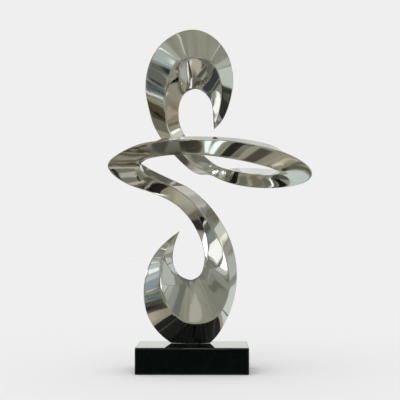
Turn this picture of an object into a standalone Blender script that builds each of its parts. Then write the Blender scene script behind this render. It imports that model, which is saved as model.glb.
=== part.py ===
# Abstract sculpture: one three-sided stainless ribbon that loops up from a black plinth.
#
# The ribbon starts at a point inside the bottom loop, goes down its left side, stands on the
# plinth, climbs the right side, crosses to the left in an S, runs once around as a flat ring
# (front band, right turn, rear band), rises into the top loop and ends in a point.
# Every section of it is a triangle. Its three corners A, B and C run the whole length as three
# sharp ground edges, and the section rolls over slowly on the way.
#
# Frame: metres, +Z up, +X to the right, -Y to the front. Origin: middle of the plinth's underside.

import math

import bmesh
import bpy
import numpy as np
from mathutils import Vector

MM = 0.001

PLINTH_WIDTH = 220 * MM
PLINTH_DEPTH = 130 * MM
PLINTH_HEIGHT = 52 * MM
PLINTH_EDGE = 2.5 * MM  # radius of the plinth's polished arris
PLINTH_EDGE_STEPS = 3
SEAT_GAP = 0.3 * MM  # between the ribbon's flat foot and the plinth

SECTIONS_PER_BAY = 8  # lofted sections from one station to the next
STRIPS_PER_FACE = 4  # quads across each of the three faces
FAIRING_PASSES = 60
FAIR_IN = 0.5  # each pass pulls a rail smooth by this share
FAIR_OUT = -0.52  # and pushes it back out by this one, so that no loop shrinks
SHARP_ANGLE = 32  # degrees; the three ground edges are all sharper than this

# Sections of the ribbon from its lower point to its upper one, in millimetres.
# Each line is one triangle, corners A, B, C. In the bottom loop A is the front ridge, B the edge
# of the hole and C the outline. In the top loop A is the edge of the hole, B the front ridge.
LOWER_POINT = (-26, 5, 278)
BOTTOM_LOOP = [
    ((-58, -12, 226), (-40, 16, 225), (-78, 16, 230)),
    ((-63, -18, 190), (-33, 20, 197), (-96, 20, 186)),
    ((-56, -24, 149), (-18, 22, 184), (-98, 22, 131)),
    ((-37, -30, 115), (-6, 24, 180), (-75, 25, 79)),
    ((-5, -33, 96), (3, 25, 182), (-18, 25, 41)),
    ((31, -32, 99), (14, 25, 190), (33, 25, 51)),
    ((59, -28, 123), (21, 24, 208), (73, 24, 111)),
    ((73, -22, 169), (23, 22, 227), (88, 22, 171)),
]
S_CURVE = [
    ((53, -19, 256), (11, 17, 270), (74, 17, 263)),
    ((-10, -25, 343), (-31, 8, 327), (3, 9, 357)),
    ((-54, -32, 371), (-68, -1, 348), (-48, 4, 384)),
    ((-84, -36, 383), (-105, -14, 361), (-88, 4, 404)),
]
LEFT_TURN = [
    ((-98, -39, 395), (-142, -28, 377), (-108, 0, 417)),
    ((-101, -45, 403), (-165, -45, 402), (-118, -14, 427)),
    ((-94, -54, 412), (-143, -72, 424), (-111, -34, 437)),
]
FRONT_BAND = [
    ((-67, -68, 419), (-94, -91, 443), (-75, -50, 452)),
    ((-23, -79, 422), (-31, -106, 448), (-27, -62, 459)),
    ((31, -82, 420), (31, -110, 449), (31, -66, 459)),
    ((136, -44, 404), (161, -80, 431), (148, -42, 447)),
]
RIGHT_TURN = [
    ((163, -20, 398), (215, -40, 413), (187, -18, 432)),
    ((173, 3, 395), (239, 3, 391), (207, 8, 416)),
    ((168, 22, 393), (222, 44, 375), (199, 42, 407)),
]
REAR_BAND = [
    ((141, 42, 392), (163, 76, 368), (160, 84, 408)),
    ((71, 65, 407), (63, 80, 383), (51, 112, 408)),
    ((44, 70, 418), (30, 62, 398), (17, 102, 398)),
    ((17, 72, 441), (-1, 45, 417), (-11, 90, 410)),
]
TOP_LOOP = [
    ((-26, 64, 495), (-51, 20, 486), (-79, 66, 490)),
    ((-30, 56, 527), (-55, 8, 523), (-93, 56, 533)),
    ((-26, 50, 546), (-54, 0, 556), (-99, 50, 572)),
    ((-17, 44, 560), (-42, -8, 590), (-91, 44, 622)),
    ((-6, 38, 566), (-23, -15, 617), (-61, 37, 666)),
    ((6, 34, 568), (3, -19, 623), (-7, 32, 690)),
    ((18, 31, 563), (29, -18, 619), (40, 29, 675)),
    ((29, 29, 553), (47, -13, 603), (71, 26, 636)),
    ((37, 27, 538), (56, -6, 578), (82, 25, 589)),
    ((40, 26, 520), (57, 3, 545), (77, 25, 547)),
    ((41, 25, 502), (51, 12, 513), (62, 25, 506)),
]
UPPER_POINT = (42, 25, 483)


def allStations():
    body = BOTTOM_LOOP + S_CURVE + LEFT_TURN + FRONT_BAND + RIGHT_TURN + REAR_BAND + TOP_LOOP
    return np.array([[LOWER_POINT] * 3] + body + [[UPPER_POINT] * 3], dtype=float) * MM


def smoothThrough(knots, points, at):
    """A natural cubic spline through points, read at the given places along it."""
    count = len(knots)
    step = np.diff(knots)
    slope = np.diff(points, axis=0) / step[:, None]
    system = np.eye(count)
    right = np.zeros_like(points)
    for i in range(1, count - 1):
        system[i, i - 1:i + 2] = step[i - 1], 2 * (step[i - 1] + step[i]), step[i]
        right[i] = 6 * (slope[i] - slope[i - 1])
    bend = np.linalg.solve(system, right)
    bay = np.clip(np.searchsorted(knots, at, side="right") - 1, 0, count - 2)
    width = step[bay][:, None]
    done = (at - knots[bay])[:, None]
    left = width - done
    curve = (bend[bay] * left ** 3 + bend[bay + 1] * done ** 3) / (6 * width)
    curve += (points[bay] / width - bend[bay] * width / 6) * left
    curve += (points[bay + 1] / width - bend[bay + 1] * width / 6) * done
    return curve


def faired(rail):
    """Takes small unevenness out of a rail, as a batten does, and leaves its ends where they are."""
    for _ in range(FAIRING_PASSES):
        for share in (FAIR_IN, FAIR_OUT):
            middle = (rail[:-2] + rail[2:]) / 2 - rail[1:-1]
            rail = rail.copy()
            rail[1:-1] += share * middle
    return rail


def ribbonRails():
    """The three edges A, B and C, each as one point per lofted section."""
    stations = allStations()
    bays = np.linalg.norm(np.diff(stations, axis=0), axis=2).mean(axis=1)
    knots = np.concatenate([[0.0], np.cumsum(bays)])
    parts = np.arange(SECTIONS_PER_BAY) / SECTIONS_PER_BAY
    at = (knots[:-1, None] + parts * bays[:, None]).ravel()
    at = np.append(at, knots[-1])
    return [faired(smoothThrough(knots, stations[:, corner], at)) for corner in range(3)]


def sectionRing(corners):
    """Points around one triangular section, STRIPS_PER_FACE to a side."""
    ring = []
    for corner in range(3):
        start = corners[corner]
        end = corners[(corner + 1) % 3]
        for strip in range(STRIPS_PER_FACE):
            ring.append(start + (end - start) * strip / STRIPS_PER_FACE)
    return ring


def loftRibbon(name):
    rails = ribbonRails()
    bm = bmesh.new()
    first = bm.verts.new(rails[0][0])
    last = bm.verts.new(rails[0][-1])
    rings = []
    for i in range(1, len(rails[0]) - 1):
        ring = sectionRing([rail[i] for rail in rails])
        rings.append([bm.verts.new(point) for point in ring])
    around = len(rings[0])
    for j in range(around):
        k = (j + 1) % around
        bm.faces.new((first, rings[0][j], rings[0][k]))
        bm.faces.new((last, rings[-1][k], rings[-1][j]))
        for near, far in zip(rings, rings[1:]):
            bm.faces.new((near[k], near[j], far[j], far[k]))
    bmesh.ops.recalc_face_normals(bm, faces=bm.faces)
    mesh = bpy.data.meshes.new(name)
    bm.to_mesh(mesh)
    bm.free()
    return bpy.data.objects.new(name, mesh)


def shadeSmooth(obj):
    obj.data.shade_smooth()
    obj.data.set_sharp_from_angle(angle=math.radians(SHARP_ANGLE))


def metalMaterial():
    material = bpy.data.materials.new("mirror-polished stainless")
    material.use_nodes = True
    shader = material.node_tree.nodes["Principled BSDF"]
    shader.inputs["Base Color"].default_value = (0.60, 0.60, 0.57, 1)
    shader.inputs["Metallic"].default_value = 1.0
    shader.inputs["Roughness"].default_value = 0.06
    return material


def plinthMaterial():
    material = bpy.data.materials.new("polished black granite")
    material.use_nodes = True
    shader = material.node_tree.nodes["Principled BSDF"]
    shader.inputs["Base Color"].default_value = (0.006, 0.008, 0.008, 1)
    shader.inputs["Metallic"].default_value = 0.0
    shader.inputs["Roughness"].default_value = 0.08
    return material


def boxPrimitive(name, size, centre):
    bpy.ops.mesh.primitive_cube_add(size=1, location=centre)
    box = bpy.context.active_object
    box.name = name
    box.scale = size
    bpy.ops.object.transform_apply(location=False, rotation=False, scale=True)
    return box


def moveTo(collection, obj):
    for owner in list(obj.users_collection):
        owner.objects.unlink(obj)
    collection.objects.link(obj)


def makePlinth(parts):
    size = Vector((PLINTH_WIDTH, PLINTH_DEPTH, PLINTH_HEIGHT))
    plinth = boxPrimitive("plinth", size, (0, 0, PLINTH_HEIGHT / 2))
    moveTo(parts, plinth)
    bevel = plinth.modifiers.new("polished arris", "BEVEL")
    bevel.width = PLINTH_EDGE
    bevel.segments = PLINTH_EDGE_STEPS
    plinth.data.materials.append(plinthMaterial())
    return plinth


def makeFootCutter(cutters):
    """A box whose top is the plane that the ribbon's foot is ground flat to."""
    height = PLINTH_HEIGHT
    top = PLINTH_HEIGHT + SEAT_GAP
    cutter = boxPrimitive("foot_cutter", (PLINTH_WIDTH, PLINTH_DEPTH, height), (0, 0, top - height / 2))
    cutter.hide_render = True
    cutter.display_type = "WIRE"
    moveTo(cutters, cutter)
    return cutter


def makeRibbon(parts, cutters):
    ribbon = loftRibbon("ribbon")
    parts.objects.link(ribbon)
    shadeSmooth(ribbon)
    foot = ribbon.modifiers.new("flat foot", "BOOLEAN")
    foot.operation = "DIFFERENCE"
    foot.solver = "EXACT"
    foot.object = makeFootCutter(cutters)
    ribbon.data.materials.append(metalMaterial())
    return ribbon


def main():
    for obj in list(bpy.data.objects):
        bpy.data.objects.remove(obj, do_unlink=True)
    parts = bpy.data.collections.new("abstract metal sculpture")
    cutters = bpy.data.collections.new("cutters")
    bpy.context.scene.collection.children.link(parts)
    bpy.context.scene.collection.children.link(cutters)
    makePlinth(parts)
    makeRibbon(parts, cutters)


main()
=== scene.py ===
import math

import bmesh
import bpy
from mathutils import Matrix, Vector


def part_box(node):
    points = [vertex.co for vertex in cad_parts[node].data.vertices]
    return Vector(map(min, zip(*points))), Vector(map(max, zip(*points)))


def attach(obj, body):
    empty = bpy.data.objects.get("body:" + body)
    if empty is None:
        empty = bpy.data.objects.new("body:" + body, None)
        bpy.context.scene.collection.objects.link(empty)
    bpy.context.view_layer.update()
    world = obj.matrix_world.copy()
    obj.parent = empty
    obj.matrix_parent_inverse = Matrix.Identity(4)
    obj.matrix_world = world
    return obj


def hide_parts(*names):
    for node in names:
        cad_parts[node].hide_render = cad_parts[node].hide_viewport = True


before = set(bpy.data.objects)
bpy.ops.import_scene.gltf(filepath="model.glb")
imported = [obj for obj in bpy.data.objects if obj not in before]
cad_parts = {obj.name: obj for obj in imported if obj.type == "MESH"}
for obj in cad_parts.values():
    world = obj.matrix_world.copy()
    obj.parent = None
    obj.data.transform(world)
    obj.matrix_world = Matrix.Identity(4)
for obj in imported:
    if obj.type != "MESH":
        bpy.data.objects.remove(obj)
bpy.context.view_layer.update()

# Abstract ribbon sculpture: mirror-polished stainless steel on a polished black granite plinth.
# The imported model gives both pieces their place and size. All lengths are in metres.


def toLinear(hexColour, gain=1.0):
    shares = [int(hexColour[i:i + 2], 16) / 255 for i in (1, 3, 5)]
    linear = [c / 12.92 if c <= 0.04045 else ((c + 0.055) / 1.055) ** 2.4 for c in shares]
    return (linear[0] * gain, linear[1] * gain, linear[2] * gain, 1.0)


# A Mix node's sockets go by number: input 0 is the share, 6 and 7 are its two colours, and output 2
# is the mixed colour.
def addNode(tree, kind, settings=None, links=None):
    node = tree.nodes.new(kind)
    for name, value in (settings or {}).items():
        if isinstance(name, int) or name in node.inputs:
            node.inputs[name].default_value = value
        else:
            setattr(node, name, value)
    for name, source in (links or {}).items():
        tree.links.new(source, node.inputs[name])
    return node


def newMaterial(name):
    material = bpy.data.materials.new(name)
    material.use_nodes = True
    tree = material.node_tree
    tree.nodes.clear()
    return material, tree


def deselectAll():
    if bpy.context.object and bpy.context.object.mode != "OBJECT":
        bpy.ops.object.mode_set(mode="OBJECT")
    bpy.ops.object.select_all(action="DESELECT")


def makeActive(piece):
    deselectAll()
    piece.select_set(True)
    bpy.context.view_layer.objects.active = piece


def applyModifiers(piece):
    makeActive(piece)
    for modifier in list(piece.modifiers):
        bpy.ops.object.modifier_apply(modifier=modifier.name)


# Polished stainless steel: a pale, slightly warm mirror. Hand polishing leaves long low waves that
# bend the reflections a little, a faint haze in patches and hair-fine marks from the last mop.
steel = {
    "colour": "#cbcbc9",
    "hazeColour": "#c4c4c1",
    "roughness": 0.045,
    "hazeRoughness": 0.085,
    "hazeSize": 0.045,  # patches of haze about 45 mm across
    "hazeStart": 0.45,  # value of the noise where the haze starts,
    "hazeFull": 0.75,  # and where it is full
    "waveSize": 0.060,  # polishing waves about 60 mm long
    "waveHeight": 0.00006,
    "markSize": 0.0012,  # mop marks, drawn a millimetre wide so that they show at all
    "markHeight": 0.0000012,
    "markTurn": (0.5, 0.9, 0.3),  # radians: the way that the mop ran
    "markStretch": (1.0, 0.05, 1.0),  # a mark is twenty times as long as it is wide
}


def polishedSteel():
    material, tree = newMaterial("mirror-polished stainless steel")
    place = addNode(tree, "ShaderNodeTexCoord").outputs["Object"]
    haze = addNode(tree, "ShaderNodeTexNoise", {"Scale": 1 / steel["hazeSize"], "Detail": 3.0},
                   {"Vector": place})
    rough = addNode(tree, "ShaderNodeMapRange",
                    {"From Min": steel["hazeStart"], "From Max": steel["hazeFull"],
                     "To Min": steel["roughness"], "To Max": steel["hazeRoughness"]},
                    {"Value": haze.outputs["Fac"]})
    tint = addNode(tree, "ShaderNodeMix",
                   {"data_type": "RGBA", 6: toLinear(steel["colour"]),
                    7: toLinear(steel["hazeColour"])},
                   {0: haze.outputs["Fac"]})
    wave = addNode(tree, "ShaderNodeTexNoise",
                   {"Scale": 1 / steel["waveSize"], "Detail": 1.0, "Roughness": 0.35},
                   {"Vector": place})
    waves = addNode(tree, "ShaderNodeBump", {"Strength": 1.0, "Distance": steel["waveHeight"]},
                    {"Height": wave.outputs["Fac"]})
    stretch = addNode(tree, "ShaderNodeMapping",
                      {"Rotation": steel["markTurn"], "Scale": steel["markStretch"]},
                      {"Vector": place})
    mark = addNode(tree, "ShaderNodeTexNoise", {"Scale": 1 / steel["markSize"], "Detail": 2.0},
                   {"Vector": stretch.outputs["Vector"]})
    marks = addNode(tree, "ShaderNodeBump", {"Strength": 1.0, "Distance": steel["markHeight"]},
                    {"Height": mark.outputs["Fac"], "Normal": waves.outputs["Normal"]})
    shader = addNode(tree, "ShaderNodeBsdfPrincipled", {"Metallic": 1.0},
                     {"Base Color": tint.outputs[2], "Roughness": rough.outputs["Result"],
                      "Normal": marks.outputs["Normal"]})
    addNode(tree, "ShaderNodeOutputMaterial", {}, {"Surface": shader.outputs["BSDF"]})
    return material


# Polished black granite: near black, glossy as glass, with faint dark-green and grey crystals
# a millimetre or two across and a rare paler fleck.
granite = {
    "ground": "#060a09",
    "crystal": "#0b100e",
    "fleck": "#151a18",
    "crystalSize": 0.0022,
    "crystalStart": 0.55,  # grains whose random value is past this are crystals,
    "crystalFull": 0.9,
    "fleckStart": 0.975,  # and one grain in forty is a fleck
    "fleckFull": 0.985,
    "roughness": 0.06,
    "roughnessSpread": 0.3,  # the polish is this share finer or coarser from place to place
    "cloudsPerMetre": 18.0,
    "ior": 1.52,
}


def blackGranite():
    material, tree = newMaterial("polished black granite")
    place = addNode(tree, "ShaderNodeTexCoord").outputs["Object"]
    grain = addNode(tree, "ShaderNodeTexVoronoi", {"Scale": 1 / granite["crystalSize"]},
                    {"Vector": place})
    split = addNode(tree, "ShaderNodeSeparateColor", {}, {"Color": grain.outputs["Color"]})
    crystals = addNode(tree, "ShaderNodeMapRange",
                       {"From Min": granite["crystalStart"], "From Max": granite["crystalFull"]},
                       {"Value": split.outputs["Red"]})
    flecks = addNode(tree, "ShaderNodeMapRange",
                     {"From Min": granite["fleckStart"], "From Max": granite["fleckFull"]},
                     {"Value": split.outputs["Green"]})
    body = addNode(tree, "ShaderNodeMix",
                   {"data_type": "RGBA", 6: toLinear(granite["ground"]),
                    7: toLinear(granite["crystal"])},
                   {0: crystals.outputs["Result"]})
    colour = addNode(tree, "ShaderNodeMix", {"data_type": "RGBA", 7: toLinear(granite["fleck"])},
                     {0: flecks.outputs["Result"], 6: body.outputs[2]})
    cloud = addNode(tree, "ShaderNodeTexNoise", {"Scale": granite["cloudsPerMetre"], "Detail": 2.0},
                    {"Vector": place})
    spread = granite["roughness"] * granite["roughnessSpread"]
    rough = addNode(tree, "ShaderNodeMapRange",
                    {"To Min": granite["roughness"] - spread, "To Max": granite["roughness"] + spread},
                    {"Value": cloud.outputs["Fac"]})
    shader = addNode(tree, "ShaderNodeBsdfPrincipled", {"IOR": granite["ior"]},
                     {"Base Color": colour.outputs[2], "Roughness": rough.outputs["Result"]})
    addNode(tree, "ShaderNodeOutputMaterial", {}, {"Surface": shader.outputs["BSDF"]})
    return material


# The ribbon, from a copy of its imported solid. The three ground edges get a small true radius and
# the faces are subdivided, so that reflections run over them without a break.
ribbon = {
    "mergeDistance": 0.00001,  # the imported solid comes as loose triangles
    "ridgeAngle": 32.0,  # degrees; only the three ground edges and the foot are sharper
    "edgesAtPoint": 12,  # so many edges meet at the lower point and nowhere else
    "edgeRadius": 0.0007,
    "edgeSteps": 2,
    "tipLength": 0.045,  # over this length from the lower point the edges get finer
    "footBand": 0.004,  # and over this height above the foot
    "footFlatness": 0.0001,  # what lies this close above the foot counts as its underside
    "subdivisions": 1,
    "smoothAngle": 40,  # degrees
}


def copyOfSolid(material):
    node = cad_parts["ribbon"]
    piece = node.copy()
    piece.data = node.data.copy()
    piece.name = "steelRibbon"
    bpy.context.collection.objects.link(piece)
    makeActive(piece)
    piece.data.materials.clear()
    piece.data.materials.append(material)
    bpy.ops.mesh.customdata_custom_splitnormals_clear()
    return piece


# Every four-sided facet of the solid comes as two triangles that share their longest edge, so
# these diagonals are selected, to be dissolved.
def selectDiagonals(mesh):
    for edge in mesh.edges:
        edge.select_set(False)
    longest = {face: max(face.edges, key=lambda edge: edge.calc_length()) for face in mesh.faces}
    for edge in mesh.edges:
        if len(edge.link_faces) == 2 and edge.calc_face_angle(0) < math.radians(ribbon["ridgeAngle"]):
            if all(longest[face] == edge for face in edge.link_faces):
                edge.select_set(True)


def selectFoot(mesh, foot):
    for face in mesh.faces:
        low = face.calc_center_median().z < foot + ribbon["footFlatness"]
        face.select_set(face.normal.z < -0.999 and low)


# The ground edges are weighted for the bevel, and the foot's outline stays as sharp as it was cut.
def weighEdges(mesh, foot):
    layers = mesh.edges.layers.float
    weight = layers.get("bevel_weight_edge") or layers.new("bevel_weight_edge")
    crease = layers.get("crease_edge") or layers.new("crease_edge")
    points = [vert.co.copy() for vert in mesh.verts
              if len(vert.link_edges) == ribbon["edgesAtPoint"]]
    for edge in mesh.edges:
        if max(vert.co.z for vert in edge.verts) < foot + ribbon["footFlatness"]:
            edge[crease] = 1.0
        elif edge.calc_face_angle(0) > math.radians(ribbon["ridgeAngle"]):
            middle = (edge.verts[0].co + edge.verts[1].co) / 2
            reach = min((middle - point).length for point in points) / ribbon["tipLength"]
            rise = (middle.z - foot) / ribbon["footBand"]
            edge[weight] = min(1.0, reach, rise)
    fourSided = sum(len(face.verts) == 4 for face in mesh.faces)
    print("ribbon:", len(mesh.faces), "facets,", fourSided, "of them four-sided")


def makeRibbon(material):
    piece = copyOfSolid(material)
    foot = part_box("ribbon")[0][2]
    bpy.ops.object.mode_set(mode="EDIT")
    bpy.ops.mesh.select_mode(type="EDGE")
    bpy.ops.mesh.select_all(action="SELECT")
    bpy.ops.mesh.remove_doubles(threshold=ribbon["mergeDistance"])
    selectDiagonals(bmesh.from_edit_mesh(piece.data))
    bmesh.update_edit_mesh(piece.data)
    bpy.ops.mesh.dissolve_edges(use_verts=False, use_face_split=False)
    bpy.ops.mesh.select_all(action="DESELECT")
    selectFoot(bmesh.from_edit_mesh(piece.data), foot)
    bmesh.update_edit_mesh(piece.data)
    bpy.ops.mesh.dissolve_faces()
    weighEdges(bmesh.from_edit_mesh(piece.data), foot)
    bmesh.update_edit_mesh(piece.data)
    bpy.ops.object.mode_set(mode="OBJECT")
    rounding = piece.modifiers.new("ground edges", "BEVEL")
    rounding.limit_method = "WEIGHT"
    rounding.width = ribbon["edgeRadius"]
    rounding.segments = ribbon["edgeSteps"]
    rounding.use_clamp_overlap = False
    smoothing = piece.modifiers.new("smooth faces", "SUBSURF")
    smoothing.levels = ribbon["subdivisions"]
    smoothing.render_levels = ribbon["subdivisions"]
    applyModifiers(piece)
    bpy.ops.object.shade_smooth_by_angle(angle=math.radians(ribbon["smoothAngle"]))
    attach(piece, "root")
    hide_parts("ribbon")


# The plinth: one sawn and polished block whose arrises are eased by hand.
plinth = {"arris": 0.0025, "arrisSteps": 5}


def makePlinth(material):
    low, high = [Vector(corner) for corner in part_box("plinth")]
    deselectAll()
    bpy.ops.mesh.primitive_cube_add(size=1, location=(low + high) / 2)
    piece = bpy.context.object
    piece.name = "graniteBlock"
    piece.scale = high - low
    bpy.ops.object.transform_apply(location=True, rotation=True, scale=True)
    bpy.ops.object.mode_set(mode="EDIT")
    bpy.ops.mesh.select_mode(type="EDGE")
    bpy.ops.mesh.select_all(action="SELECT")
    bpy.ops.mesh.bevel(offset=plinth["arris"], segments=plinth["arrisSteps"], profile=0.5)
    bpy.ops.mesh.select_all(action="SELECT")
    bpy.ops.mesh.normals_make_consistent(inside=False)
    bpy.ops.object.mode_set(mode="OBJECT")
    bpy.ops.object.shade_smooth()
    weighted = piece.modifiers.new("flat faces", "WEIGHTED_NORMAL")
    weighted.keep_sharp = True
    applyModifiers(piece)
    piece.data.materials.append(material)
    print("plinth:", len(piece.data.polygons), "faces with its eased arrises")
    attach(piece, "root")
    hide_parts("plinth")


# The studio: a pale floor and an even pale light, which is all that the eye sees past the object.
# The polished steel shows a workshop instead: a brown floor with dark and bright things on it,
# a grey-brown ceiling with lamps, windows and machines. Only reflections see those cards.
studio = {
    "pale": "#efefef",
    "floorWhite": "#e7e7e7",
    "floorSize": 40.0,
    "sunStrength": 0.76,
    "sunPlace": (-1.0, -1.5, 3.0),
    "sunLean": (22, -14, 0),  # degrees about each axis
    "sunSpread": 60,  # degrees across, so wide that its shadows have no edge
    "steelShare": 0.60,  # of what falls on it, polished steel gives back this much
    "clutterCut": (0.44, 0.56),  # between these values of the noise a second colour takes over
    "floorLevel": -0.008,  # heights of the cards that lie flat; reflections look past the pale floor
    "pitLevel": -0.300,
    "armLevel": 0.300,
    "floorStep": 0.0002,  # a later card in a list lies this much over the one before it
    "wallStep": 0.001,  # or stands this much before it
    "farStep": 0.05,
    "farDistance": 30.0,
    "farMiddle": 0.35,  # the height that the far cards face
}


def asSeen(hexColour, strength=1.0):
    return toLinear(hexColour, strength / studio["steelShare"])


def onlyInReflections(card):
    card.visible_camera = False
    card.visible_diffuse = False
    card.visible_shadow = False
    card.visible_transmission = False


# A glowing face that fades out towards its four sides. Clutter breaks it up with a second colour.
def glowMaterial(name, colour, strength, soft, clutter):
    material, tree = newMaterial(name)
    place = addNode(tree, "ShaderNodeTexCoord").outputs["Generated"]
    axes = addNode(tree, "ShaderNodeSeparateXYZ", {}, {"Vector": place})
    fades = []
    for axis in "XY":
        fold = addNode(tree, "ShaderNodeMath", {"operation": "PINGPONG", 1: 0.5},
                       {0: axes.outputs[axis]})
        fade = addNode(tree, "ShaderNodeMapRange",
                       {"interpolation_type": "SMOOTHSTEP", "From Max": soft},
                       {"Value": fold.outputs[0]})
        fades.append(fade.outputs["Result"])
    share = addNode(tree, "ShaderNodeMath", {"operation": "MULTIPLY"}, {0: fades[0], 1: fades[1]})
    glow = addNode(tree, "ShaderNodeEmission", {"Color": asSeen(colour, strength), "Strength": 1.0})
    if clutter:
        otherColour, count = clutter
        things = addNode(tree, "ShaderNodeTexNoise",
                         {"Scale": count, "Detail": 3.0, "Distortion": 1.2}, {"Vector": place})
        start, full = studio["clutterCut"]
        cut = addNode(tree, "ShaderNodeMapRange", {"From Min": start, "From Max": full},
                      {"Value": things.outputs["Fac"]})
        both = addNode(tree, "ShaderNodeMix",
                       {"data_type": "RGBA", 6: asSeen(colour, strength), 7: asSeen(otherColour)},
                       {0: cut.outputs["Result"]})
        tree.links.new(both.outputs[2], glow.inputs["Color"])
    clear = addNode(tree, "ShaderNodeBsdfTransparent")
    mix = addNode(tree, "ShaderNodeMixShader", {},
                  {0: share.outputs[0], 1: clear.outputs[0], 2: glow.outputs[0]})
    addNode(tree, "ShaderNodeOutputMaterial", {}, {"Surface": mix.outputs[0]})
    return material


def addCard(name, centre, size, facing, colour, strength, soft, clutter=None):
    deselectAll()
    bpy.ops.mesh.primitive_plane_add(size=1, location=centre)
    card = bpy.context.object
    card.name = name
    card.rotation_euler = facing
    card.scale = (size[0], size[1], 1)
    card.data.materials.append(glowMaterial(name, colour, strength, soft, clutter))
    onlyInReflections(card)


# Things on the workshop floor: name, middle x and y, width, depth, turn in degrees, colour as the
# steel shows it, strength, soft edge.
floorCards = [
    ("whiteSheet", 0.88, -1.65, 1.10, 1.40, 0, "#ffffff", 1.7, 0.10),
    ("paleFrontRight", 0.55, -0.95, 0.25, 0.25, 0, "#b4bab4", 1.0, 0.20),
    ("darkFloorLeft", -0.95, -0.23, 0.95, 0.32, 0, "#373c3d", 1.0, 0.12),
    ("greyFloorLeft", -1.80, -0.22, 0.80, 0.40, 0, "#4a4f52", 1.0, 0.15),
    ("greyFloorRear", -1.10, 0.40, 0.90, 0.14, 0, "#6f706a", 1.0, 0.20),
    ("duskLeft", -0.372, 0.110, 0.050, 0.140, 0, "#66645a", 1.0, 0.30),
    ("darkLeft", -0.436, 0.105, 0.118, 0.200, 0, "#2c2c26", 1.0, 0.25),
    ("paleLeft", -0.57, 0.29, 0.14, 0.10, 0, "#dedbd4", 1.0, 0.25),
    ("sandLeft", -0.28, 0.07, 0.16, 0.12, 0, "#a8a292", 1.0, 0.30),
    ("beamRear", 0.269, 0.300, 0.017, 0.200, 2, "#585847", 1.0, 0.20),
    ("blackRear", 0.262, 0.520, 0.020, 0.360, 2, "#262722", 1.0, 0.20),
    ("paperRear", 0.205, 0.440, 0.092, 0.350, 3, "#b8c1be", 1.0, 0.06),
    ("greyRear", 0.108, 0.400, 0.040, 0.230, 3, "#3e413c", 1.0, 0.10),
    ("darkRear", 0.138, 0.465, 0.046, 0.260, 3, "#4c534e", 1.0, 0.10),
    ("blackNearRear", 0.141, 0.296, 0.084, 0.036, -45, "#0c100c", 1.0, 0.15),
    ("dimRear", 0.118, 0.274, 0.060, 0.030, -50, "#565752", 1.0, 0.25),
    ("dimNearRear", 0.074, 0.270, 0.085, 0.050, -20, "#64645c", 1.0, 0.25),
    ("tapeRear", 0.104, 0.280, 0.080, 0.010, -50, "#ffffff", 1.1, 0.20),
    ("brownRear", 0.025, 0.222, 0.150, 0.090, 0, "#6e6a5d", 1.0, 0.25),
    ("duskRear", -0.005, 0.120, 0.150, 0.110, 0, "#67665c", 1.0, 0.30),
    ("paleFarRight", 0.680, 0.370, 0.280, 0.110, 10, "#b0b3ad", 1.0, 0.20),
]

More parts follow.
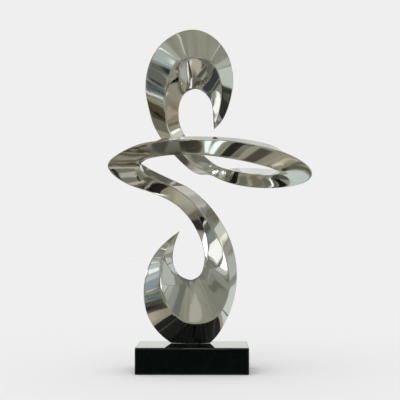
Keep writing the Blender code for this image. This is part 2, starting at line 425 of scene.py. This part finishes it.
# The same for the near floor in front, lower, so that the granite doesn't mirror it.
pitCards = [
    ("palePitFront", 0.170, -0.900, 0.660, 1.100, 0, "#a3acad", 1.0, 0.12),
    ("duskFrontPit", 0.103, -0.303, 0.190, 0.085, -52, "#6f6f66", 1.0, 0.20),
    ("greyPitRight", 0.720, -0.800, 0.450, 0.450, 0, "#687070", 1.0, 0.15),
    ("brownPit", -0.290, -0.420, 0.340, 0.560, 0, "#737366", 1.0, 0.15),
    ("streakPit", -0.345, -0.220, 0.150, 0.420, -18, "#50514a", 1.0, 0.25),
    ("sandPit", -0.172, -0.236, 0.240, 0.115, 0, "#ada696", 1.0, 0.15),
    ("brownEdgePit", -0.235, 0.000, 0.070, 0.240, 0, "#6a6759", 1.0, 0.30),
    ("brownLowPit", -0.190, -0.105, 0.130, 0.060, 0, "#6a685d", 1.0, 0.30),
    ("duskEdgePit", -0.178, 0.040, 0.100, 0.085, 0, "#5c594b", 1.0, 0.30),
    ("shadowEdgePit", -0.182, -0.062, 0.110, 0.090, 0, "#4b493f", 1.0, 0.30),
    ("paleSpotPit", -0.200, -0.462, 0.075, 0.085, 0, "#a8a9a2", 1.0, 0.25),
    ("paleEdgePit", -0.149, -0.320, 0.022, 0.170, 0, "#a8a9a1", 1.0, 0.25),
    ("gapPit", -0.238, -0.375, 0.032, 0.250, 0, "#1e1e1c", 1.0, 0.15),
    ("shadowPit", -0.163, -0.050, 0.050, 0.120, 0, "#403e33", 1.0, 0.30),
    ("duskPit", -0.240, -0.108, 0.042, 0.100, 0, "#46463d", 1.0, 0.30),
    ("shadowLowPit", -0.143, -0.118, 0.032, 0.055, 0, "#46453b", 1.0, 0.30),
    ("shadowMidPit", -0.178, -0.152, 0.080, 0.048, 0, "#424139", 1.0, 0.30),
    ("palePit", 0.460, -0.150, 0.760, 0.130, 9, "#a0a8a5", 1.0, 0.20),
    ("spotPit", -0.090, -0.212, 0.050, 0.045, 0, "#d4d9d6", 1.0, 0.25),
    ("shadowFrontPit", -0.078, -0.171, 0.195, 0.055, -39, "#34352d", 1.0, 0.15),
    ("glarePit", 0.024, -0.206, 0.036, 0.060, 0, "#eefcfd", 1.1, 0.15),
    ("greyGlarePit", 0.046, -0.194, 0.014, 0.050, 0, "#87928c", 1.0, 0.20),
    ("glareWidePit", 0.073, -0.184, 0.050, 0.060, 40, "#eefafb", 1.1, 0.15),
    ("olivePit", 0.114, -0.150, 0.026, 0.055, 40, "#7a7a66", 1.0, 0.20),
    ("blackPit", 0.163, -0.102, 0.094, 0.060, 45, "#252523", 1.0, 0.12),
    ("duskRightPit", 0.207, -0.043, 0.060, 0.055, 58, "#6a6862", 1.0, 0.20),
    ("duskSpotPit", 0.217, -0.020, 0.020, 0.022, 0, "#4a473e", 1.0, 0.30),
    ("duskLinePit", 0.261, 0.098, 0.046, 0.150, -26, "#4a4840", 1.0, 0.20),
    ("boardPit", 0.367, 0.385, 0.026, 0.215, 0, "#cfc8ac", 1.0, 0.18),
    ("beamPit", 0.336, 0.380, 0.022, 0.170, 0, "#66644f", 1.0, 0.20),
]

# The same for four small strips just under the arm, where it comes down from the ring.
armCards = [
    ("shadeUnderArm", -0.0873, -0.0105, 0.0175, 0.029, 0, "#1b1b1b", 1.0, 0.10),
    ("edgeUnderArm", -0.0817, -0.0115, 0.0105, 0.024, 20, "#23211e", 1.0, 0.10),
    ("stripUnderArm", -0.0992, -0.0190, 0.0035, 0.034, 8, "#969694", 1.0, 0.20),
    ("gapUnderArm", -0.1065, -0.0350, 0.0050, 0.026, 16, "#55534a", 1.0, 0.20),
]

# Boards close round the object, because their reflections start too near for anything farther off:
# name, azimuth from +Y towards +X, distance, middle z, width, height, roll in degrees, colour,
# strength, soft edge.
nearCards = [
    ("boardFront", 173.7, 0.201, 0.154, 0.100, 0.098, 0, "#ffffff", 1.7, 0.06),
    ("boardPoint", 139.0, 0.700, 0.365, 0.260, 0.250, 0, "#ffffff", 1.7, 0.10),
    ("boardLeft", 247.5, 0.103, 0.170, 0.045, 0.030, 18, "#ffffff", 1.7, 0.06),
    ("boardLeftRear", 286.9, 0.110, 0.1945, 0.019, 0.016, 0, "#ffffff", 1.7, 0.06),
    # The dark card beside the plinth's left side is no board: it is painted shade, where the plinth
    # shades the workshop floor next to it.
    ("blockLeft", 279.0, 0.127, 0.026, 0.090, 0.052, 0, "#242322", 1.0, 0.08),
]

# Things on and before the side walls: name, x, middle y and z, width, height, tilt in degrees,
# colour, strength, soft edge, and for cluttered ones their second colour and how many things across.
sideCards = [
    ("sideFloor", -2.5, 1.75, -0.15, 1.10, 0.75, 0, "#68655a", 1.0, 0.10),
    ("cupboardDark", -2.5, 1.19, 0.13, 0.30, 0.32, 0, "#3a3829", 1.0, 0.10, ("#5a594b", 3.0)),
    ("cupboardGap", -2.5, 1.14, 0.14, 0.12, 0.16, 40, "#1f1e12", 1.0, 0.30),
    ("cupboardBrown", -2.5, 0.97, 0.22, 0.25, 0.32, 0, "#4b4331", 1.0, 0.10),
    ("crateSide", -2.5, 0.76, 0.42, 0.16, 0.20, 0, "#a5a08c", 1.0, 0.15, ("#4b4636", 4.0)),
    ("shelfPale", -2.5, 0.61, 0.58, 0.16, 0.15, 0, "#d9dfdb", 1.0, 0.15, ("#707770", 4.0)),
    ("shelves", -2.5, 0.47, 0.84, 0.30, 0.44, 0, "#39423f", 1.0, 0.08, ("#6e7774", 5.0)),
    ("greySide", -2.5, 0.26, 1.32, 0.26, 0.42, 0, "#60635c", 1.0, 0.10),
    ("gapSide", -2.5, 0.320, 1.10, 0.080, 0.16, 0, "#262c28", 1.0, 0.25),
    ("beamSide", -2.5, 0.16, 1.63, 0.24, 0.26, 0, "#5c615b", 1.0, 0.15),
    ("beamShade", -2.5, 0.080, 1.68, 0.100, 0.24, 0, "#1f2625", 1.0, 0.25),
    ("skylight", -2.5, 0.14, 2.30, 0.28, 0.90, 0, "#a2aeab", 1.0, 0.05),
    ("skylightEdge", -2.5, 0.035, 2.25, 0.060, 0.50, 0, "#dfe8e6", 1.0, 0.25),
    ("tubeSide", -2.5, 0.74, 2.38, 1.80, 0.09, -34.5, "#fbfdf8", 1.3, 0.10),
    ("roofSide", -2.5, 1.78, 2.62, 0.36, 0.62, 0, "#65665f", 1.0, 0.15),
    ("wallPale", -2.5, 1.00, 1.10, 0.17, 0.24, 0, "#9fa8a1", 1.0, 0.20),
    ("wallSide", -2.5, 1.22, 1.46, 0.30, 0.62, 0, "#868880", 1.0, 0.15),
    ("lampSide", -2.5, 1.075, 1.30, 0.050, 0.07, 0, "#e6e9e2", 1.0, 0.25),
    ("frameSide", -2.5, 0.915, 0.955, 0.19, 0.09, 50, "#d0d9d3", 1.0, 0.25),
    ("paneSide", -2.5, 0.76, 0.72, 0.24, 0.34, 0, "#b4bdb9", 1.0, 0.10),
    ("paneGlare", -2.5, 0.68, 0.60, 0.22, 0.028, 52, "#f2fafa", 1.2, 0.25),
    ("panelSide", -2.5, 0.47, 0.20, 0.26, 0.46, 0, "#86959a", 1.0, 0.10),
    ("panelPale", -2.5, 0.55, 0.40, 0.24, 0.26, 0, "#aeb9b9", 1.0, 0.30),
    ("panelShade", -2.5, 0.275, 0.02, 0.10, 0.30, 0, "#4a5855", 1.0, 0.25),
    ("panelGlare", -2.5, 0.345, -0.03, 0.09, 0.06, 0, "#bccaca", 1.0, 0.25),
    ("machineSide", -2.5, 0.28, -0.73, 0.30, 0.66, 0, "#3a3a35", 1.0, 0.12, ("#4c4c45", 4.0)),
    ("machineTop", -2.5, 0.28, -0.30, 0.26, 0.36, 0, "#4c5754", 1.0, 0.15, ("#808a87", 5.0)),
    ("railRight", 2.5, 0.325, 0.33, 0.004, 0.26, -16, "#c6d0c8", 1.0, 0.15),
]

# The rest of the workshop, far off: name, azimuth from +Y towards +X, elevation, width, height and
# roll in degrees, colour, strength, soft edge.
farCards = [
    ("rearWall", 0, 22, 31, 30, 0, "#cbccc8", 1.0, 0.08),
    ("rearBench", -1, 6, 20, 7, 0, "#d8dbd6", 1.0, 0.10),
    ("rearDusk", 3, 20.5, 20, 10, 0, "#a6a7a3", 1.0, 0.25),
    ("rearPier", 18, 30, 7, 15, 0, "#5b5c56", 1.0, 0.15),
    ("rearHigh", 40, 41, 38, 8, 0, "#bebdb7", 1.0, 0.12),
    ("rearHighDusk", 51, 40, 12, 9, 0, "#a3a29c", 1.0, 0.30),
    ("rearRight", 47, 6, 16, 17, 0, "#a4aaa3", 1.0, 0.15),
    ("paleFloorRear", 347, -22, 16, 14, 0, "#b0b0aa", 1.0, 0.30),
    ("darkRearLeft", 334, -20.5, 8, 8, 0, "#44433d", 1.0, 0.30),
    ("rearLow", 31, -13, 14, 22, 0, "#b6bdba", 1.0, 0.12),
    ("rearPost", 37, -3, 3, 7, 0, "#858a84", 1.0, 0.25),
    ("brownPost", 59, 2, 9, 26, 0, "#857d6b", 1.0, 0.12),
    ("postShade", 60, 10, 9, 5, 0, "#696256", 1.0, 0.30),
    ("postMid", 58, 15, 8, 6, 0, "#97958a", 1.0, 0.30),
    ("postBand", 57, 2.2, 7, 2.5, 0, "#9c9580", 1.0, 0.30),
    ("postShadeLow", 58.5, -1.8, 6, 1.6, 0, "#6a6450", 1.0, 0.30),
    ("postTop", 60, 24, 11, 12, 0, "#c3c4b8", 1.0, 0.15),
    ("postLamp", 62.3, 20.3, 3.5, 4.5, 0, "#f4f2e2", 1.1, 0.25),
    ("windowRight", 84, 14, 40, 24, 0, "#babfba", 1.0, 0.07),
    ("windowRightHigh", 88, 31, 44, 14, 0, "#a8ada6", 1.0, 0.35),
    ("windowRightLow", 71.5, -5, 8, 13, 0, "#babfb9", 1.0, 0.15),
    ("machineRight", 89, -12, 20, 29, 0, "#2e302d", 1.0, 0.04),
    ("ceilingRight", 110, 47, 44, 22, 0, "#6c6e65", 1.0, 0.25),
    ("ceilingFrontRight", 113, 39.5, 30, 11, 0, "#899088", 1.0, 0.30),
    ("ceilingMidRight", 86, 43, 12, 9, 0, "#62635a", 1.0, 0.30),
    ("tubeRight", 78, 52, 30, 0.9, 0, "#dcdcd0", 1.0, 0.10),
    ("lampFront", 138, 34, 16, 8, 0, "#d4d5d5", 1.0, 0.25),
    ("frontHigh", 184, 22, 44, 12, 0, "#a3a69e", 1.0, 0.25),
    ("frontPale", 185, 12, 36, 24, 0, "#e0e3de", 1.0, 0.30),
    ("frontMid", 166, 10, 14, 20, 0, "#9c9d92", 1.0, 0.20),
    ("frontLow", 166, -0.5, 18, 4.5, 0, "#e8ece8", 1.0, 0.30),
    ("darkFront", 180, -7, 15, 6, 0, "#101413", 1.0, 0.10),
    ("ceilingFront", 184, 62, 26, 7, 0, "#aaa79d", 1.0, 0.25),
    ("wallFrontLeft", 236, 30, 26, 34, 0, "#7d7f75", 1.0, 0.25),
    ("darkFrontLeft", 246, 23, 7, 16, 0, "#65685d", 1.0, 0.25),
    ("darkLeftLow", 251, 2, 9, 9, 0, "#65685f", 1.0, 0.25),
    ("windowFrontLeft", 260.5, -2.5, 8, 9, 0, "#b6b8b4", 1.0, 0.20),
    ("tubeHigh", 267, 68, 30, 0.8, -48, "#d8d8cc", 1.0, 0.10),
    ("roofDusk", 264, 73, 22, 10, 0, "#85857b", 1.0, 0.30),
    ("roofPale", 271, 46.5, 14, 12, 0, "#a4a79e", 1.0, 0.30),
]


# Which way a standing card is turned: its azimuth round the object, lean and roll, in degrees.
def facingIn(azimuth, lean, roll):
    turned = Matrix.Rotation(-math.radians(azimuth), 3, "Z")
    leant = Matrix.Rotation(math.pi / 2 + math.radians(lean), 3, "X")
    rolled = Matrix.Rotation(math.radians(roll), 3, "Z")
    return (turned @ leant @ rolled).to_euler()


def makeWorkshop():
    levels = ((studio["floorLevel"], floorCards), (studio["pitLevel"], pitCards),
              (studio["armLevel"], armCards))
    for level, cards in levels:
        for index, (name, x, y, width, depth, turn, *look) in enumerate(cards):
            centre = (x, y, level + studio["floorStep"] * index)
            addCard(name, centre, (width, depth), (0, 0, math.radians(turn)), *look)
    for index, (name, x, y, z, width, height, tilt, *look) in enumerate(sideCards):
        inwards = studio["wallStep"] * (-index if x > 0 else index)
        addCard(name, (x + inwards, y, z), (width, height), facingIn(-90, 0, tilt), *look)
    for name, azimuth, distance, z, width, height, roll, *look in nearCards:
        turn = math.radians(azimuth)
        centre = (distance * math.sin(turn), distance * math.cos(turn), z)
        addCard(name, centre, (width, height), facingIn(azimuth, 0, roll), *look)
    middle = Vector((0, 0, studio["farMiddle"]))
    for index, (name, azimuth, elevation, width, height, roll, *look) in enumerate(farCards):
        distance = studio["farDistance"] - studio["farStep"] * index
        turn, rise = math.radians(azimuth), math.radians(elevation)
        level = math.cos(rise)
        outwards = Vector((math.sin(turn) * level, math.cos(turn) * level, math.sin(rise)))
        size = [2 * distance * math.tan(math.radians(angle) / 2) for angle in (width, height)]
        addCard(name, middle + outwards * distance, size, facingIn(azimuth, elevation, roll), *look)
    lists = (floorCards, pitCards, armCards, nearCards, sideCards, farCards)
    print("workshop:", sum(len(cards) for cards in lists), "cards for the reflections")


# The air of the workshop behind the cards, from straight down at 0 to straight up at 1.
air = {
    "colours": ((0.0, "#8f8a7a"), (0.44, "#8d8878"), (0.49, "#807f74"), (0.56, "#8b8d85"),
                (0.70, "#838479"), (0.85, "#88887c"), (1.0, "#8b8b7e")),
    "patchStretch": (5.0, 5.0, 1.6),
    "patchScale": 1.6,
    "patchNoise": (0.3, 0.7),  # values of the noise between which its light runs
    "patchLight": (0.82, 1.18),  # from the dimmest patch to the brightest
}


def makeWorld():
    world = bpy.data.worlds.new("pale studio, workshop in the reflections")
    bpy.context.scene.world = world
    world.use_nodes = True
    tree = world.node_tree
    tree.nodes.clear()
    way = addNode(tree, "ShaderNodeTexCoord").outputs["Generated"]
    height = addNode(tree, "ShaderNodeSeparateXYZ", {}, {"Vector": way}).outputs["Z"]
    share = addNode(tree, "ShaderNodeMapRange", {"From Min": -1.0}, {"Value": height})
    ramp = addNode(tree, "ShaderNodeValToRGB", {}, {"Fac": share.outputs["Result"]})
    marks = ramp.color_ramp.elements
    while len(marks) < len(air["colours"]):
        marks.new(0.5)
    for mark, (place, colour) in zip(marks, air["colours"]):
        mark.position = place
        mark.color = asSeen(colour)
    stretch = addNode(tree, "ShaderNodeMapping", {"Scale": air["patchStretch"]}, {"Vector": way})
    patches = addNode(tree, "ShaderNodeTexNoise", {"Scale": air["patchScale"], "Detail": 3.0},
                      {"Vector": stretch.outputs["Vector"]})
    low, high = air["patchNoise"]
    dim, bright = air["patchLight"]
    light = addNode(tree, "ShaderNodeMapRange",
                    {"From Min": low, "From Max": high, "To Min": dim, "To Max": bright},
                    {"Value": patches.outputs["Fac"]})
    workshop = addNode(tree, "ShaderNodeBackground", {},
                       {"Color": ramp.outputs["Color"], "Strength": light.outputs["Result"]})
    pale = addNode(tree, "ShaderNodeBackground", {"Color": toLinear(studio["pale"]), "Strength": 1.0})
    ray = addNode(tree, "ShaderNodeLightPath")
    mix = addNode(tree, "ShaderNodeMixShader", {},
                  {0: ray.outputs["Is Glossy Ray"], 1: pale.outputs[0], 2: workshop.outputs[0]})
    addNode(tree, "ShaderNodeOutputWorld", {}, {"Surface": mix.outputs[0]})


def makeFloor():
    deselectAll()
    bpy.ops.mesh.primitive_plane_add(size=studio["floorSize"], location=(0, 0, 0))
    floor = bpy.context.object
    floor.name = "paleFloor"
    material, tree = newMaterial("pale studio floor")
    shader = addNode(tree, "ShaderNodeBsdfDiffuse", {"Color": toLinear(studio["floorWhite"])})
    addNode(tree, "ShaderNodeOutputMaterial", {}, {"Surface": shader.outputs[0]})
    floor.data.materials.append(material)
    floor.visible_glossy = False


def makeLight():
    lean = [math.radians(angle) for angle in studio["sunLean"]]
    bpy.ops.object.light_add(type="SUN", location=studio["sunPlace"], rotation=lean)
    sun = bpy.context.object
    sun.name = "softOverhead"
    sun.data.energy = studio["sunStrength"]
    sun.data.angle = math.radians(studio["sunSpread"])
    sun.visible_glossy = False


# The camera: a long lens 1.8 m in front, level with the top of the lower loop.
camera = {
    "place": (0.0436, -1.8236, 0.2472),
    "yaw": -0.911,  # degrees to the right of +Y
    "pitch": 1.644,  # degrees up from level
    "lens": 82.2,  # millimetres, for a sensor 36 mm wide
    "sensor": 36,
    "shift": 0.05,
    "sight": 100,  # how far it sees, past the floor's edge
}


def makeCamera():
    data = bpy.data.cameras.new("camera")
    data.sensor_width = camera["sensor"]
    data.lens = camera["lens"]
    data.shift_y = camera["shift"]
    data.clip_end = camera["sight"]
    viewer = bpy.data.objects.new("camera", data)
    viewer.location = camera["place"]
    viewer.rotation_euler = (math.radians(90 + camera["pitch"]), 0, -math.radians(camera["yaw"]))
    bpy.context.scene.collection.objects.link(viewer)
    bpy.context.scene.camera = viewer


makeCamera()
makeWorld()
makeFloor()
makeLight()
print("studio: pale floor, even light and camera are in place")
makeWorkshop()
makeRibbon(polishedSteel())
makePlinth(blackGranite())
print("sculpture: ribbon and plinth are finished")

bpy.context.scene.view_settings.view_transform = "Standard"
deselectAll()
